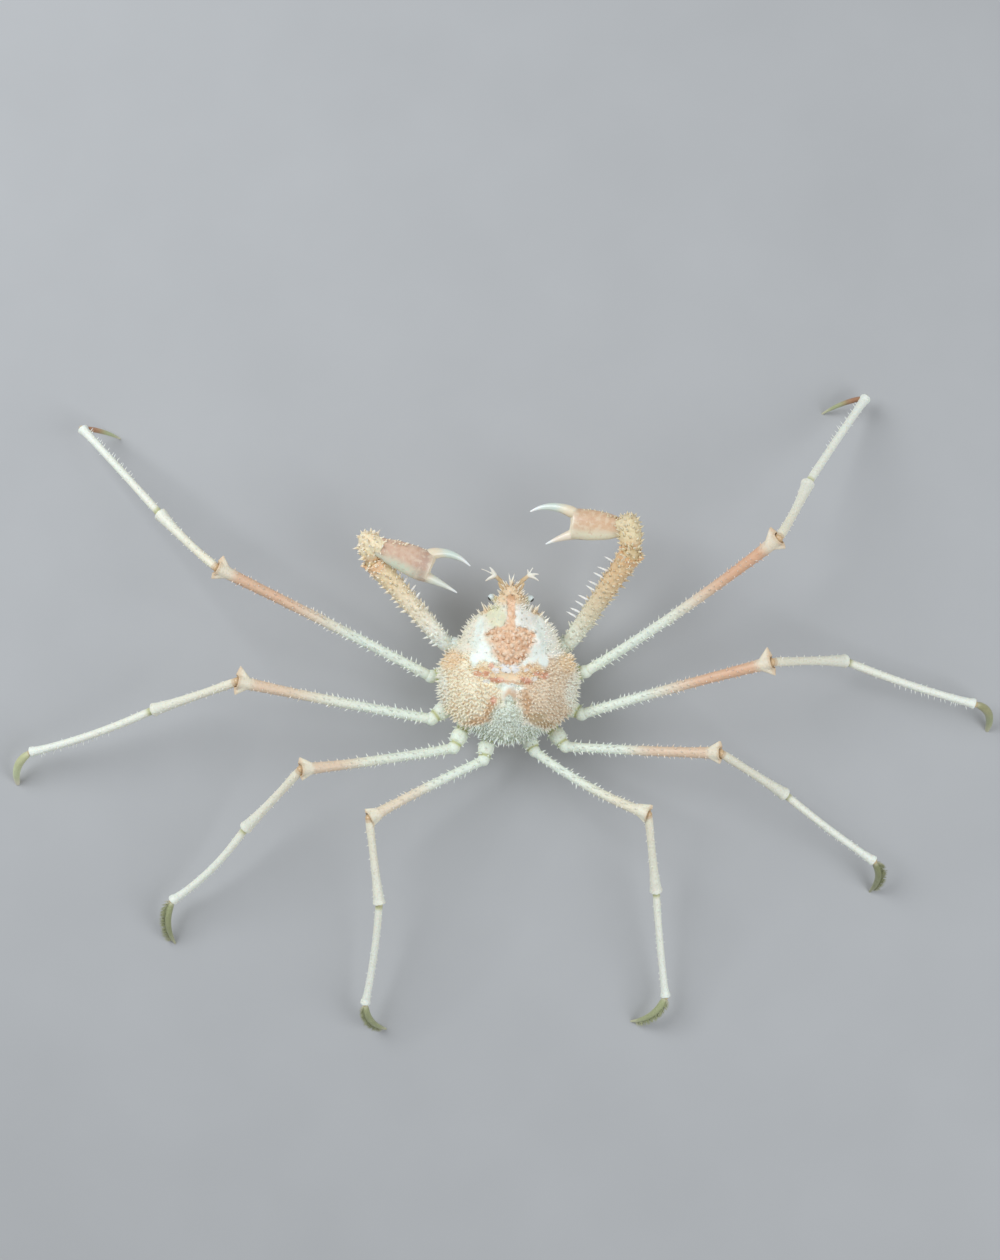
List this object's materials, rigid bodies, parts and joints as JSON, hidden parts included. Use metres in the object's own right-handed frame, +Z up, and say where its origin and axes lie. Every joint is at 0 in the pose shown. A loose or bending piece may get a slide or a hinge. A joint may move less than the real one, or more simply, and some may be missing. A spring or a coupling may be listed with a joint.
{
  "type": "spiny long-legged spider crab",
  "caption": "Still, life-size model of a spiny long-legged spider crab, standing with arched legs spread wide and open claws held forward.",
  "frame": {"origin": "middle of the footprint box at floor level, under the body", "axes": "+X to the crab's right along the widest spread of the legs, +Y forwards past the head, +Z up from the floor"},
  "size_m": [0.4278, 0.2866, 0.0676],
  "materials": {
    "shell": "spiny shell, cream to peach-orange, dull",
    "underside": "smooth pale cream plates",
    "leg": "spiny leg shell, cream with a faint tint of green",
    "claw": "spiny orange-cream claw arm with a smooth peach palm",
    "ivory": "smooth ivory-white, slightly glossy",
    "toe": "dull yellow-green toe with a blunt tip",
    "eye": "glossy white eye with a small black cornea",
    "horn": "tan and olive feeler stalks with white prongs"
  },
  "bodies": {
    "root": {"antenna_l": "horn", "antenna_r": "horn", "antennule_l": "horn", "antennule_r": "horn", "carapace": "shell", "cheliped_l_base": "claw", "cheliped_l_carpus": "claw", "cheliped_l_finger": "ivory", "cheliped_l_merus": "claw", "cheliped_l_palm": "claw", "cheliped_r_base": "claw", "cheliped_r_carpus": "claw", "cheliped_r_finger": "ivory", "cheliped_r_merus": "claw", "cheliped_r_palm": "claw", "eye_l": "eye", "eye_r": "eye", "leg2_l_base": "leg", "leg2_l_carpus": "ivory", "leg2_l_dactylus": "toe", "leg2_l_merus": "leg", "leg2_l_propodus": "ivory", "leg2_r_base": "leg", "leg2_r_carpus": "ivory", "leg2_r_dactylus": "toe", "leg2_r_merus": "leg", "leg2_r_propodus": "ivory", "leg3_l_base": "leg", "leg3_l_carpus": "ivory", "leg3_l_dactylus": "toe", "leg3_l_merus": "leg", "leg3_l_propodus": "ivory", "leg3_r_base": "leg", "leg3_r_carpus": "ivory", "leg3_r_dactylus": "toe", "leg3_r_merus": "leg", "leg3_r_propodus": "ivory", "leg4_l_base": "leg", "leg4_l_carpus": "ivory", "leg4_l_dactylus": "toe", "leg4_l_merus": "leg", "leg4_l_propodus": "ivory", "leg4_r_base": "leg", "leg4_r_carpus": "ivory", "leg4_r_dactylus": "toe", "leg4_r_merus": "leg", "leg4_r_propodus": "ivory", "leg5_l_base": "leg", "leg5_l_carpus": "ivory", "leg5_l_dactylus": "toe", "leg5_l_merus": "leg", "leg5_l_propodus": "ivory", "leg5_r_base": "leg", "leg5_r_carpus": "ivory", "leg5_r_dactylus": "toe", "leg5_r_merus": "leg", "leg5_r_propodus": "ivory", "maxillipeds": "underside", "pleon": "underside", "thorax": "underside"}
  },
  "joints": []
}
